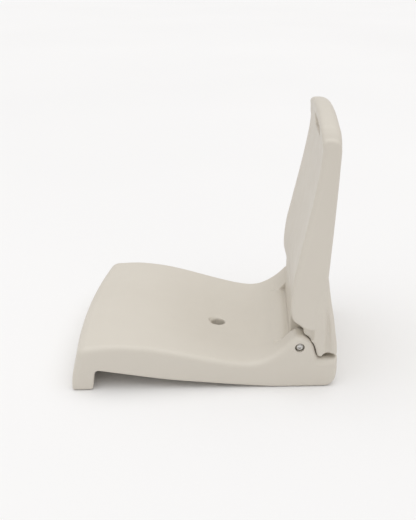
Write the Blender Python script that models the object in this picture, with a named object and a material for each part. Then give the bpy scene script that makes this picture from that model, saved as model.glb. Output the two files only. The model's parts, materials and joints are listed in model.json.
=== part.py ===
"""Low folding seat of moulded plastic: a hollow seat that stands on the floor and a hollow backrest
that turns on two bolts. +X is the sitter's left, +Y the rear, +Z up, with the floor at Z = 0."""

import math

import bmesh
import bpy
from mathutils import Matrix, Vector

MM = 0.001
ORIGIN_Y = -3.0  # the frame's origin is the middle of the footprint, this far along the outlines

# Driving dimensions, in millimetres.
SEAT_REAR = 215.0
SEAT_HALF_WIDTH = 190.0  # across the front lip
PLAN_TAPER = 0.0826  # half width lost for each millimetre towards the rear
TAPER_FROM = -200.0
FRONT_BOW = 13.0  # the lip's middle stands this far in front of its corners
BOW_FROM = -60.0
BOW_FULL = -160.0
WALL = 4.5

PIVOT_Y = 153.4
PIVOT_Z = 70.1

EAR_INNER = 103.0  # the two shoulders that hold the bolts start here
POCKET_HALF_WIDTH = 102.7
POCKET_RADIUS = 18.7
POCKET_FLOOR = 48.0
LIP_Y = 137.0
LIP_Z = 59.0
LIP_ROLL = 4.5
LIP_ROLL_FROM = 122.0
RECESS_START = 112.0  # where the seat's middle parts from its shoulders
SHOULDER_FALL = 28.0

DRAIN_Y = 18.0
DRAIN_RADIUS = 12.2
DRAIN_LIP = 4.0

TOP_FILLET = 9.0
NOSE_FILLET = 11.0  # the same edge where it comes round the front
NOSE_FILLET_SPAN = (-185.0, -130.0)
LEDGE_FILLET = 13.0
BOTTOM_FILLET = 2.5
FILLET_ANGLES = [math.radians(a) for a in (30, 60, 90)]
CORNER_STEPS = 3

BACK_TOP = 429.0
BACK_HALF_WIDTH = 161.0  # at BACK_WIDE_Z
BACK_WIDE_Z = 100.0
BACK_TAPER = 0.07
CORNER_START = 358.0  # the side turns in towards the arched top above this
CORNER_REACH = 30.0
SQUEEZE_FROM = 288.0
CROWN_FROM = 402.0
ARCH_FALL = 0.00085  # of the top, for each square millimetre from the middle
BACK_FILLET = 5.5

TAIL_SECTIONS = [52.3, 57, 66.5, 75.4, 78.6, 81.7, 85.6, 88.1, 89.3, 92, 100, 112, 124, 145, 166,
                 186, 206]
HUB_HALF_WIDTH = 99.5
HUB_RADIUS = 17.5
HUB_FRONT = 140.5
TAIL_BOTTOM = 52.3
TAIL_NARROWING = 0.17
TAIL_REAR_CORNER = 7.0
TAIL_FRONT_CORNER = 4.5
WING_UNDERCUT = 8.0
WING_UNDERCUT_Y = 175.5
GROOVE_Y = 198.5
GROOVE_DEPTH = 6.0
GROOVE_TOP = 160.0
FOOT_SPAN = (189.5, 210.0)
FOOT_RECESS = 56.3

SLOT_HALF_LENGTH = 52.0
SLOT_LOW = 383.0
SLOT_HIGH = 407.0

# Along X from the middle, mirrored to the other side.
BOLT_RADIUS = 4.0
BOLT_END = 76.0
BOLT_HEAD_START = 154.6
SOCKET_RADIUS = 2.9
SOCKET_FLOOR = 156.4
HEAD_RECESS_RADIUS = 7.8
HEAD_RECESS_FLOOR = 153.2
HEAD_WASHER_RADIUS = 7.4
BUSHING_RADIUS = 6.0
BUSHING_START = 115.0
THRUST_RADIUS = 7.4
INSERT_RADIUS = 7.0
INSERT_START = 73.5
FIT = 0.3

BUFFER_X = 128.0
BUFFER_Y = 199.5
BUFFER_RADIUS = 4.3
BUFFER_STEM = 2.2
BUFFER_DEPTH = 8.0

VENT_RADIUS = 4.0
PLUG_RADIUS = 6.5
SEAT_VENT = (0.0, -60.0)
SEAT_VENT_FLOOR = 19.0
BACK_VENT_Z = 140.0
BACK_VENT_FLOOR = 199.5

SIDES = ((1, "left"), (-1, "right"))

PLASTIC = (0.66, 0.62, 0.55, 1.0)
PLUG_PLASTIC = (0.50, 0.48, 0.44, 1.0)
SLIDING_PLASTIC = (0.80, 0.79, 0.74, 1.0)
STEEL = (0.55, 0.56, 0.57, 1.0)
BRASS = (0.72, 0.52, 0.24, 1.0)
RUBBER = (0.52, 0.50, 0.46, 1.0)

# Side outlines as (Y, Z), and the tail's two as (Z, Y).
FRONT_FACE = [(-206, 0), (-208, 2.5), (-208, 13), (-206.6, 27), (-203.6, 38), (-200.6, 48)]
NOSE = [(-197.5, 56), (-193, 63), (-186.5, 69), (-177, 73.4)]
NOSE_MIDDLE = [(-200, 56), (-198, 63), (-194.5, 69), (-186, 73.4)]
RIM = [(-177, 73.4), (-160, 76), (-140, 76.8), (-100, 74.5), (-60, 68), (-20, 59), (18, 50.5),
       (50, 44.6), (72, 42.8), (88, 44.8), (103, 51), (118, 60.6), (127, 68), (136, 77.4), (143, 84.4),
       (150, 88.2), (156, 88.2), (163, 85.2), (169, 80.4), (174, 74), (177.5, 65.5), (180, 55.5),
       (182, 50.5), (185.5, 48), (215, 48)]
MIDDLE = [(-177, 73.4), (-160, 76), (-140, 76.6), (-100, 71.5), (-60, 60.5), (-20, 47.5),
          (18, 37.6), (50, 34.8), (80, 37.2), (112, 45.8)]
REAR_FACE = [(214.8, 48), (215, 30), (213.8, 18), (210.6, 9), (205, 3.6), (197, 0.7), (188, 0)]
UNDERSIDE = [(188, 0), (124, 0), (92, 2.2), (60, 4.8), (28, 7.6), (-17, 12), (-49, 15.4),
             (-81, 20), (-112.5, 25.2), (-144, 30.4), (-164, 33.6)]
FOOT_REAR = [(-169, 32.5), (-171, 28), (-174.2, 6), (-175.6, 1.4), (-178, 0)]

SEAT_ROWS = [-160, -145, -130, -112, -94, -76, -58, -40, -22, -4, 14, 32, 48, 62, 75, 87, 97, 105,
             112, 118, 124, 130, 134, 137, 138.6, 141, 144.5, 148.5, 153, 157.5, 162, 166, 169.5,
             172.5, 175, 177.2, 179, 180.6, 182.5, 186, 198]

BACK_FRONT = [(150.9, 108.3), (143.2, 113.5), (139.2, 121), (137.3, 132), (137.3, 150),
              (138.8, 168), (141.4, 188), (146.5, 212), (151.8, 238), (156.8, 262), (162.3, 289),
              (167.5, 316), (171.6, 340), (174.8, 362), (176.6, 384), (175.6, 401), (173.2, 413)]
BACK_CROWN = [(172.2, 419), (173.4, 424.8), (177.5, 428.3), (185, 429), (193.5, 428.2),
              (200, 424.4), (203.4, 417.5), (204.6, 408)]
BACK_REAR = [(204.4, 386), (203.4, 350), (201.8, 318), (200, 285), (198, 250), (195.8, 217),
             (193.9, 188)]
BACK_UNDER = [(191.6, 173), (188.6, 158), (185, 140), (182.4, 122), (179.6, 105), (176, 100.4),
              (169, 99), (160, 101.4)]
TAIL_FRONT = [(52.3, 182.6), (57, 180.8), (66.5, 178.3), (75.4, 174.7), (78.6, 171.7), (81.7, 170),
              (85.6, 166.4), (88.1, 163), (89.3, 160.4), (92, 159.4), (100, 158.8), (115, 172),
              (206, 172)]
TAIL_REAR = [(52.3, 213.9), (66, 213.4), (93, 209.5), (124, 204.7), (145, 200.6), (166, 197.2),
             (186, 194.4), (206, 190.5)]


def mm(x, y, z):
    """A place in the outlines' millimetres as a place in the frame."""
    return Vector((x * MM, (y - ORIGIN_Y) * MM, z * MM))


def curve_through(points):
    """A function of Y that runs smoothly through the points and never past them."""
    steps = [b[0] - a[0] for a, b in zip(points, points[1:])]
    slopes = [(b[1] - a[1]) / step for a, b, step in zip(points, points[1:], steps)]
    tangents = [slopes[0]]
    for before, after, first, second in zip(slopes, slopes[1:], steps, steps[1:]):
        if before * after <= 0:
            tangents.append(0.0)
            continue
        near, far = 2 * second + first, second + 2 * first
        tangents.append((near + far) / (near / before + far / after))
    tangents.append(slopes[-1])

    def height(y):
        y = min(max(y, points[0][0]), points[-1][0])
        i = max(k for k in range(len(steps)) if points[k][0] <= y)
        t = (y - points[i][0]) / steps[i]
        low, high = points[i][1], points[i + 1][1]
        rise = steps[i] * (t * (1 - t) ** 2 * tangents[i] - t * t * (1 - t) * tangents[i + 1])
        return low + (high - low) * t * t * (3 - 2 * t) + rise

    return height


rim_height = curve_through(RIM)
middle_height = curve_through(MIDDLE)


def seat_half_width(y):
    return SEAT_HALF_WIDTH - PLAN_TAPER * (y - TAPER_FROM)


def back_half_width(z):
    return BACK_HALF_WIDTH - BACK_TAPER * (z - BACK_WIDE_Z)


def bowed(x, y):
    """The seat's front is drawn straight and then bent forward in the middle."""
    ramp = min(1.0, max(0.0, (y - BOW_FROM) / (BOW_FULL - BOW_FROM)))
    return y - FRONT_BOW * ramp * ramp * (3 - 2 * ramp) * (1 - (x / SEAT_HALF_WIDTH) ** 2)


def dish(x, y):
    """1 along the seat's middle, easing to 0 at its rims."""
    reach = seat_half_width(y) - TOP_FILLET
    return max(0.0, 1 - (x / reach) ** 2) ** 1.5


def pocket_height(y):
    """The hollow behind the seat's rear lip, in which the back's hub turns."""
    across = y - PIVOT_Y
    if across > 0:
        return POCKET_FLOOR
    round_part = PIVOT_Z - math.sqrt(POCKET_RADIUS**2 - min(abs(across), POCKET_RADIUS) ** 2)
    return max(POCKET_FLOOR, round_part)


def seat_top(x, y):
    """Height of the seat's upper side. It steps up from the pocket to the shoulders."""
    rim = rim_height(y)
    if y <= RECESS_START:
        return rim - (rim - middle_height(y)) * dish(x, y)
    start = rim_height(RECESS_START)
    depth = start - middle_height(RECESS_START)
    if abs(x) >= EAR_INNER:
        grown = min(1.0, (y - RECESS_START) / 10)
        fall = (depth + (SHOULDER_FALL - depth) * grown) * dish(x, y)
        return max(rim - fall, min(rim, POCKET_FLOOR))
    if y > LIP_Y:
        return min(pocket_height(y), LIP_Z - LIP_ROLL)
    along = (y - RECESS_START) / (LIP_Y - RECESS_START)
    edge = start - depth * dish(x, RECESS_START)
    rolled = max(0.0, (y - LIP_ROLL_FROM) / (LIP_Y - LIP_ROLL_FROM))
    return edge + (LIP_Z - edge) * (1 - (1 - along) ** 1.3) - LIP_ROLL * rolled**1.6


def lofted(name, rings):
    """A closed body through rings of as many points each, with flat ends."""
    mesh = bmesh.new()
    rows = [[mesh.verts.new(point) for point in ring] for ring in rings]
    count = len(rows[0])
    for row, after in zip(rows, rows[1:]):
        for i in range(count):
            j = (i + 1) % count
            mesh.faces.new((row[i], row[j], after[j], after[i]))
    mesh.faces.new(rows[0][::-1])
    mesh.faces.new(rows[-1])
    bmesh.ops.recalc_face_normals(mesh, faces=mesh.faces)
    data = bpy.data.meshes.new(name)
    mesh.to_mesh(data)
    mesh.free()
    return bpy.data.objects.new(name, data)


def inset_outline(points, depths):
    """Each point of a closed outline moved in along its corner by its own depth."""
    moved = []
    count = len(points)
    for i, (y, z) in enumerate(points):
        before = Vector(points[i - 1])
        after = Vector(points[(i + 1) % count])
        here = Vector((y, z))
        entering = (here - before).normalized()
        leaving = (after - here).normalized()
        normal = Vector((entering.y + leaving.y, -entering.x - leaving.x))
        if normal.length < 1e-6:
            normal = Vector((entering.y, -entering.x))
        normal.normalize()
        corner = max(0.5, normal.dot(Vector((entering.y, -entering.x))))
        moved.append(tuple(here + normal * (depths[i] / corner)))
    return moved


def blend(a, b, t):
    return a + (b - a) * t


def edge_rounding(y):
    """Rounding of the seat's upper side edge, wider round the front."""
    full, gone = NOSE_FILLET_SPAN
    share = min(1.0, max(0.0, (y - full) / (gone - full)))
    return blend(NOSE_FILLET, TOP_FILLET, share * share * (3 - 2 * share))


def seat_outline(x):
    """The seat's section at x as (Y, Z, rounding of its side edge), up the front and down the rear."""
    points = []
    for y, z in FRONT_FACE:
        points.append((y, z, blend(BOTTOM_FILLET, NOSE_FILLET, min(1.0, z / 48))))
    crisp = min(1.0, max(0.0, 12 * (1 - abs(x) / SEAT_HALF_WIDTH)))
    for (y, z), (middle_y, _) in zip(NOSE, NOSE_MIDDLE):
        points.append((blend(y, middle_y, crisp), z, NOSE_FILLET))
    points += [(y, seat_top(x, y), LEDGE_FILLET if y > 185 else edge_rounding(y)) for y in SEAT_ROWS]
    for y, z in REAR_FACE:
        points.append((y, z, blend(BOTTOM_FILLET, LEDGE_FILLET, min(1.0, z / 45))))
    points += [(y, z, BOTTOM_FILLET) for y, z in UNDERSIDE[1:]]
    points += [(y, z, BOTTOM_FILLET) for y, z in FOOT_REAR]
    return points


MIDDLE_STATIONS = [-POCKET_HALF_WIDTH, -84, -63, -42, -21, 0, 21, 42, 63, 84, POCKET_HALF_WIDTH]
SHOULDER_STEPS = [0.0, 0.34, 0.67, 1.0]


def seat_side_rings(side):
    """Rings from a shoulder's inner wall out to the rounded side edge."""
    rings = []
    for step in SHOULDER_STEPS:
        ring = []
        for i, (y, _, rounding) in enumerate(seat_outline(EAR_INNER)):
            x = blend(EAR_INNER, seat_half_width(y) - rounding, step)
            z = seat_outline(x)[i][1]
            ring.append(mm(side * x, bowed(x, y), z))
        rings.append(ring)
    outer = seat_outline(seat_half_width(SEAT_REAR) - TOP_FILLET / 4)
    outline = [(y, rim_height(y) if y in SEAT_ROWS and z > POCKET_FLOOR else z) for y, z, _ in outer]
    roundings = [rounding for _, _, rounding in outer]
    for angle in FILLET_ANGLES:
        depths = [rounding * (1 - math.cos(angle)) for rounding in roundings]
        moved = inset_outline(outline, depths)
        ring = []
        for (y, z), (old_y, _), rounding in zip(moved, outline, roundings):
            x = seat_half_width(old_y) - rounding * (1 - math.sin(angle))
            ring.append(mm(side * x, bowed(x, y), z))
        rings.append(ring)
    return rings


def seat_blank(name):
    middle = [[mm(x, bowed(x, y), z) for y, z, _ in seat_outline(x)] for x in MIDDLE_STATIONS]
    left = seat_side_rings(1)
    right = seat_side_rings(-1)
    return lofted(name, right[::-1] + middle + left)


CAVITY_ROWS = [-165, -140, -100, -60, -20, 18, 50, 75, 92, 105, 118, 150, 205]
CAVITY_STATIONS = [-0.97, -0.8, -0.5, -0.2, 0, 0.2, 0.5, 0.8, 0.97]


def seat_cavity(name):
    """The seat's hollow, one wall in from its skin."""
    under = curve_through(UNDERSIDE[::-1])
    front = [(-200, 5.5), (-203, 13), (-201.5, 27), (-195.5, 47), (-188, 60), (-176, 68)]
    rear = [(-163, 38.4), (-172, 37.2), (-175.4, 29), (-178.5, 7), (-180, 5.5)]
    rings = []
    for station in CAVITY_STATIONS:
        outline = list(front)
        for y in CAVITY_ROWS:
            x = station * (seat_half_width(y) - WALL)
            roof = seat_top(x, y) if y < RECESS_START else min(seat_top(x, y), POCKET_FLOOR)
            outline.append((y, roof - WALL))
        outline += [(y, max(under(y), 0.0) + WALL) for y in reversed(CAVITY_ROWS[1:])]
        ring = []
        for y, z in outline + rear:
            x = station * (seat_half_width(y) - WALL)
            ring.append(mm(x, bowed(x, y), z))
        rings.append(ring)
    return lofted(name, rings)


def round_bar(name, radius, low, high, axis="Z", sides=32, around=(0, 0)):
    """A cylinder between two places on an axis. around is where it crosses the other two axes."""
    mesh = bmesh.new()
    bmesh.ops.create_cone(mesh, cap_ends=True, segments=sides, radius1=radius * MM,
                          radius2=radius * MM, depth=(high - low) * MM)
    middle = (low + high) / 2
    if axis == "X":
        turn = Matrix.Rotation(math.pi / 2, 4, "Y")
        place = mm(middle, *around)
    elif axis == "Y":
        turn = Matrix.Rotation(-math.pi / 2, 4, "X")
        place = mm(around[0], middle, around[1])
    else:
        turn = Matrix.Identity(4)
        place = mm(around[0], around[1], middle)
    mesh.transform(Matrix.Translation(place) @ turn)
    data = bpy.data.meshes.new(name)
    mesh.to_mesh(data)
    mesh.free()
    return bpy.data.objects.new(name, data)


def turned(name, profile, place, direction, sides=32):
    """A solid of revolution. profile is (radius, distance along the direction), and a ring if it
    doesn't start on the axis."""
    mesh = bmesh.new()
    points = [mesh.verts.new((radius * MM, 0.0, along * MM)) for radius, along in profile]
    for first, second in zip(points, points[1:]):
        mesh.edges.new((first, second))
    if profile[0][0] > 0:
        mesh.edges.new((points[-1], points[0]))
    bmesh.ops.spin(mesh, geom=mesh.verts[:] + mesh.edges[:], axis=(0, 0, 1), cent=(0, 0, 0),
                   steps=sides, angle=2 * math.pi)
    bmesh.ops.remove_doubles(mesh, verts=mesh.verts, dist=1e-6)
    bmesh.ops.recalc_face_normals(mesh, faces=mesh.faces)
    turn = Vector((0, 0, 1)).rotation_difference(Vector(direction)).to_matrix().to_4x4()
    mesh.transform(Matrix.Translation(place) @ turn)
    data = bpy.data.meshes.new(name)
    mesh.to_mesh(data)
    mesh.free()
    return bpy.data.objects.new(name, data)


def material(name, colour, roughness, metallic=0.0):
    made = bpy.data.materials.new(name)
    made.use_nodes = True
    shader = made.node_tree.nodes["Principled BSDF"]
    shader.inputs["Base Color"].default_value = colour
    shader.inputs["Roughness"].default_value = roughness
    shader.inputs["Metallic"].default_value = metallic
    return made


def collection(name):
    made = bpy.data.collections.new(name)
    bpy.context.scene.collection.children.link(made)
    return made


def start_scene():
    for obj in list(bpy.data.objects):
        bpy.data.objects.remove(obj, do_unlink=True)


def add_part(obj, look, parts):
    obj.data.materials.append(look)
    parts.objects.link(obj)
    obj.data.shade_smooth()
    obj.data.set_sharp_from_angle(angle=math.radians(35))
    return obj


def add_cutter(obj, cutters):
    cutters.objects.link(obj)
    obj.hide_render = True
    obj.display_type = "WIRE"
    return obj


def combine(obj, other, operation, solver="EXACT"):
    made = obj.modifiers.new(f"{operation.lower()} {other.name}", "BOOLEAN")
    made.operation = operation
    made.object = other
    made.solver = solver


def slab_outline(points, x, concave):
    """A back section at x. The front of the middle lies further back than the wings' edges."""
    half = back_half_width(BACK_WIDE_Z) - BACK_FILLET
    share = max(0.0, 1 - (x / half) ** 2)
    moved = []
    for i, (y, z) in enumerate(points):
        hollow = concave(z) * share if i < len(BACK_FRONT) else 0.0
        moved.append((y + hollow, z))
    return moved


def top_drop(x):
    """How far the back's top edge lies below its middle: an arch that turns down into the sides."""
    arch = BACK_TOP - ARCH_FALL * x * x
    over = max(0.0, abs(x) - (back_half_width(CORNER_START) - CORNER_REACH)) / CORNER_REACH
    fullness = math.sqrt(max(0.0, 1 - over * over))
    return BACK_TOP - CORNER_START - (arch - CORNER_START) * fullness


def lowered_top(z, x):
    """The crown keeps its thickness and moves down, and what is just below it is squeezed."""
    share = min(1.0, max(0.0, (z - SQUEEZE_FROM) / (CROWN_FROM - SQUEEZE_FROM)))
    return z - top_drop(x) * share * share * (3 - 2 * share)


front_lean = curve_through([(z, y) for y, z in BACK_FRONT])
rear_lean = curve_through([(z, y) for y, z in BACK_REAR[::-1]])


def lean(share, low, z):
    """How far a point lowered from z moves, so that it follows the front (share 0) or the rear (1)."""
    return blend(front_lean(low) - front_lean(z), rear_lean(low) - rear_lean(z), share)


def back_slab(name):
    """The part of the back above the shoulders, with its two wings and the arched top."""
    concave = curve_through([(100, 3.0), (150, 5.0), (240, 7.0), (330, 6.0), (395, 1.5), (430, 0.0)])
    base = BACK_FRONT + BACK_CROWN + BACK_REAR + BACK_UNDER
    rings = []
    for station in (0, 0.16, 0.33, 0.5, 0.66, 0.78, 0.87, 0.94, 1.0):
        ring = []
        for i, (y, z) in enumerate(slab_outline(base, station * BACK_HALF_WIDTH, concave)):
            low = lowered_top(z, station * (back_half_width(z) - BACK_FILLET))
            x = station * (back_half_width(low) - BACK_FILLET)
            rearward = min(1.0, max(0.0, (i - len(BACK_FRONT)) / len(BACK_CROWN)))
            ring.append((x, y + lean(rearward, low, z), low))
        rings.append(ring)
    outline = [(y, z) for _, y, z in rings[-1]]
    for angle in FILLET_ANGLES:
        moved = inset_outline(outline, [BACK_FILLET * (1 - math.cos(angle))] * len(outline))
        ring = []
        for (y, z), (_, old_z) in zip(moved, outline):
            x = back_half_width(old_z) - BACK_FILLET * (1 - math.sin(angle))
            ring.append((x, y, z))
        rings.append(ring)
    mirrored = [[(-x, y, z) for x, y, z in ring] for ring in rings[:0:-1]]
    return lofted(name, [[mm(*point) for point in ring] for ring in mirrored + rings])


def extruded(name, outline, half_width):
    """A side outline carried straight across from one side to the other."""
    return lofted(name, [[mm(x, y, z) for y, z in outline] for x in (-half_width, half_width)])


def hub_outline():
    """Section of the back's hub: flat in front, round below, and joined to the slab and tail."""
    points = [(160, 128), (HUB_FRONT, 128)]
    for degrees in range(222, 271, 8):
        angle = math.radians(degrees)
        points.append((PIVOT_Y + HUB_RADIUS * math.cos(angle), PIVOT_Z + HUB_RADIUS * math.sin(angle)))
    points += [(187, TAIL_BOTTOM + 1.5), (187, 128)]
    return points[::-1]


tail_front = curve_through(TAIL_FRONT)
tail_rear = curve_through(TAIL_REAR)


def tail_section(z):
    """The tail's plan at z: a ridge behind each shoulder, a groove, and a round rear corner."""
    ridge = back_half_width(z) - 0.8 - TAIL_NARROWING * max(0.0, 105 - z)
    corner = ridge - 2.5
    front, rear = tail_front(z), tail_rear(z)
    valley = min(GROOVE_Y, rear - TAIL_REAR_CORNER - 1.5)
    groove = ridge - GROOVE_DEPTH * min(1.0, max(0.0, (GROOVE_TOP - z) / 45))
    half = []
    for step in range(CORNER_STEPS + 1):
        angle = math.pi / 2 * (1 - step / CORNER_STEPS)
        half.append((corner - TAIL_REAR_CORNER * (1 - math.cos(angle)),
                     rear - TAIL_REAR_CORNER * (1 - math.sin(angle))))
    for (x, y), (next_x, next_y) in ((half[-1], (groove, valley)), ((groove, valley), (ridge, valley - 8))):
        for step in range(1, CORNER_STEPS + 1):
            along = step / CORNER_STEPS
            half.append((blend(x, next_x, (1 - math.cos(math.pi * along)) / 2), blend(y, next_y, along)))
    reach = max(TAIL_FRONT_CORNER, WING_UNDERCUT_Y - front)
    hollow = min(1.0, (reach - TAIL_FRONT_CORNER) / 3)
    for step in range(CORNER_STEPS + 1):
        angle = math.pi / 2 * step / CORNER_STEPS
        inwards = blend(TAIL_FRONT_CORNER * (1 - math.cos(angle)), WING_UNDERCUT * math.sin(angle), hollow)
        forwards = blend(math.sin(angle), 1 - math.cos(angle), hollow)
        half.append((ridge - inwards, front + reach * (1 - forwards)))
    plan = half + [(-x, y) for x, y in half[::-1]]
    return [(x, y, z) for x, y in plan]


def back_cavity(name):
    rings = []
    outline = [(150, 113), (144.5, 122), (144.5, 150), (150, 188), (162.5, 250), (173, 310),
               (180.2, 355), (182, 374), (197.5, 374), (196.5, 318), (192.5, 250), (188.8, 190),
               (183, 160), (177, 122), (172, 109)]
    for station in (-1.0, -0.6, 0.0, 0.6, 1.0):
        ring = []
        for i, (y, z) in enumerate(outline):
            hollow = 4.0 * (1 - station * station) if i < 7 else 0.0
            x = station * (back_half_width(z) - WALL - 1.5)
            ring.append(mm(x, y + hollow, z))
        rings.append(ring)
    return lofted(name, rings)


def hand_slot(name):
    """Cutter for the hand slot: a flat loop with round ends, through the back from front to rear."""
    radius = (SLOT_HIGH - SLOT_LOW) / 2
    middle = (SLOT_HIGH + SLOT_LOW) / 2
    outline = []
    for centre, first in ((SLOT_HALF_LENGTH - radius, -90), (radius - SLOT_HALF_LENGTH, 90)):
        for step in range(9):
            angle = math.radians(first + step * 22.5)
            outline.append((centre + radius * math.cos(angle), middle + radius * math.sin(angle)))
    rings = [[mm(x, y, z) for x, z in outline] for y in (140, 230)]
    return lofted(name, rings)


def drain_cutter(name):
    """Cutter for the drain hole, with a rounded lip where it meets the seat's surface."""
    surface = seat_top(0, DRAIN_Y)
    profile = [(0.0, -20.0), (DRAIN_RADIUS, -20.0), (DRAIN_RADIUS, surface - DRAIN_LIP)]
    for degrees in (30, 60, 90):
        angle = math.radians(degrees)
        out = DRAIN_RADIUS + DRAIN_LIP * (1 - math.cos(angle))
        profile.append((out, surface - DRAIN_LIP + DRAIN_LIP * math.sin(angle) + 0.4))
    profile += [(DRAIN_RADIUS + DRAIN_LIP, 90.0), (0.0, 90.0)]
    return turned(name, profile, mm(0, DRAIN_Y, 0), (0, 0, 1), 36)


def foot_recess(name):
    """Cutter across the tail's bottom that leaves a foot along its front and one along its rear."""
    front, rear = FOOT_SPAN
    outline = [(front, 40), (front, FOOT_RECESS - 1), (front + 1, FOOT_RECESS), (rear - 1, FOOT_RECESS),
               (rear, FOOT_RECESS - 1), (rear, 40)]
    return lofted(name, [[mm(x, y, z) for y, z in outline] for x in (-170, 170)])


def tail_cavity(name):
    """The hollow of the tail, which opens into the hollow of the slab."""
    outline = [(188, 61), (188, 100), (181, 114), (181, 172), (191, 172), (196.1, 145),
               (200.2, 124), (205, 93), (208.8, 66), (209, 61)]
    return extruded(name, outline, BUFFER_X - 11)


def tube(name, inner, outer, start, end, side, chamfer=0.4, sides=32):
    """A ring about the pivot, its outer edges chamfered."""
    profile = [(inner, start), (outer - chamfer, start), (outer, start + chamfer),
               (outer, end - chamfer), (outer - chamfer, end), (inner, end)]
    return turned(name, profile, mm(0, PIVOT_Y, PIVOT_Z), (side, 0, 0), sides)


def bolt(name, side):
    """Button-head bolt: shank, collar and domed head, without its socket."""
    top = BOLT_HEAD_START
    profile = [(0, BOLT_END), (BOLT_RADIUS - 0.6, BOLT_END), (BOLT_RADIUS, BOLT_END + 0.8),
               (BOLT_RADIUS, top), (6.8, top), (7.0, top + 0.3), (7.0, top + 0.9), (6.5, top + 2.1),
               (5.5, top + 3.3), (4.2, top + 4.1), (3.4, top + 4.4), (0, top + 4.4)]
    return turned(name, profile, mm(0, PIVOT_Y, PIVOT_Z), (side, 0, 0), 28)


def insert(name, side):
    """Brass insert with three grooves that key it into the plastic."""
    start, end = INSERT_START, HUB_HALF_WIDTH - FIT
    outer = INSERT_RADIUS
    profile = [(BOLT_RADIUS + FIT, start), (outer, start)]
    for k in (0.25, 0.5, 0.75):
        middle = blend(start, end, k)
        profile += [(outer, middle - 1.6), (outer - 0.8, middle - 1.0),
                    (outer - 0.8, middle + 1.0), (outer, middle + 1.6)]
    profile += [(outer, end), (BOLT_RADIUS + FIT, end)]
    return turned(name, profile, mm(0, PIVOT_Y, PIVOT_Z), (side, 0, 0), 24)


def buffer(name, side):
    """Rubber button under the tail: a domed foot and the stem that holds it."""
    low = POCKET_FLOOR + FIT
    high = FOOT_RECESS - 0.1
    profile = [(0, low), (BUFFER_RADIUS - 1.2, low), (BUFFER_RADIUS - 0.3, low + 0.5),
               (BUFFER_RADIUS, low + 1.3), (BUFFER_RADIUS, high), (BUFFER_STEM, high),
               (BUFFER_STEM, high + BUFFER_DEPTH - 1.2), (BUFFER_STEM - 0.8, high + BUFFER_DEPTH - 0.4),
               (0, high + BUFFER_DEPTH - 0.4)]
    return turned(name, profile, mm(side * BUFFER_X, BUFFER_Y, 0), (0, 0, 1), 24)


def plug(name, place, inwards):
    """Plug of a moulding vent: a thin flange in a round recess, and a stem with a tapered tip."""
    profile = [(0, -1.4), (PLUG_RADIUS - 0.5, -1.4), (PLUG_RADIUS, -1.0), (PLUG_RADIUS, -0.1),
               (VENT_RADIUS - FIT, -0.1), (VENT_RADIUS - FIT, 7.0), (VENT_RADIUS - 1.2, 9.0), (0, 9.0)]
    return turned(name, profile, place, inwards, 24)


def build_seat(parts, cutters, look):
    seat = add_part(seat_blank("seat_body"), look, parts)
    cavity = add_cutter(seat_cavity("seat_cavity"), cutters)
    column = add_cutter(round_bar("drain_column", DRAIN_RADIUS + 5, -5, 95, around=(0, DRAIN_Y)), cutters)
    combine(cavity, column, "DIFFERENCE")
    combine(seat, cavity, "DIFFERENCE")
    combine(seat, add_cutter(drain_cutter("drain_hole"), cutters), "DIFFERENCE")
    vent = round_bar("seat_vent_hole", VENT_RADIUS, -5, 35, sides=24, around=SEAT_VENT)
    combine(seat, add_cutter(vent, cutters), "DIFFERENCE")
    recess = round_bar("seat_vent_recess", PLUG_RADIUS + FIT, -5, SEAT_VENT_FLOOR, around=SEAT_VENT)
    combine(seat, add_cutter(recess, cutters), "DIFFERENCE")
    for side, word in SIDES:
        low, high = sorted((side * BUSHING_START, side * 170.0))
        bore = round_bar(f"ear_bore_{word}", BUSHING_RADIUS + FIT, low, high, "X", 28, (PIVOT_Y, PIVOT_Z))
        combine(seat, add_cutter(bore, cutters), "DIFFERENCE")
        low, high = sorted((side * 95.0, side * (BUSHING_START + 2)))
        throat = round_bar(f"ear_throat_{word}", BOLT_RADIUS + FIT, low, high, "X", 24, (PIVOT_Y, PIVOT_Z))
        combine(seat, add_cutter(throat, cutters), "DIFFERENCE")
        low, high = sorted((side * HEAD_RECESS_FLOOR, side * 175.0))
        recess = round_bar(f"head_recess_{word}", HEAD_RECESS_RADIUS, low, high, "X", 32, (PIVOT_Y, PIVOT_Z))
        combine(seat, add_cutter(recess, cutters), "DIFFERENCE")
    return seat


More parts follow.
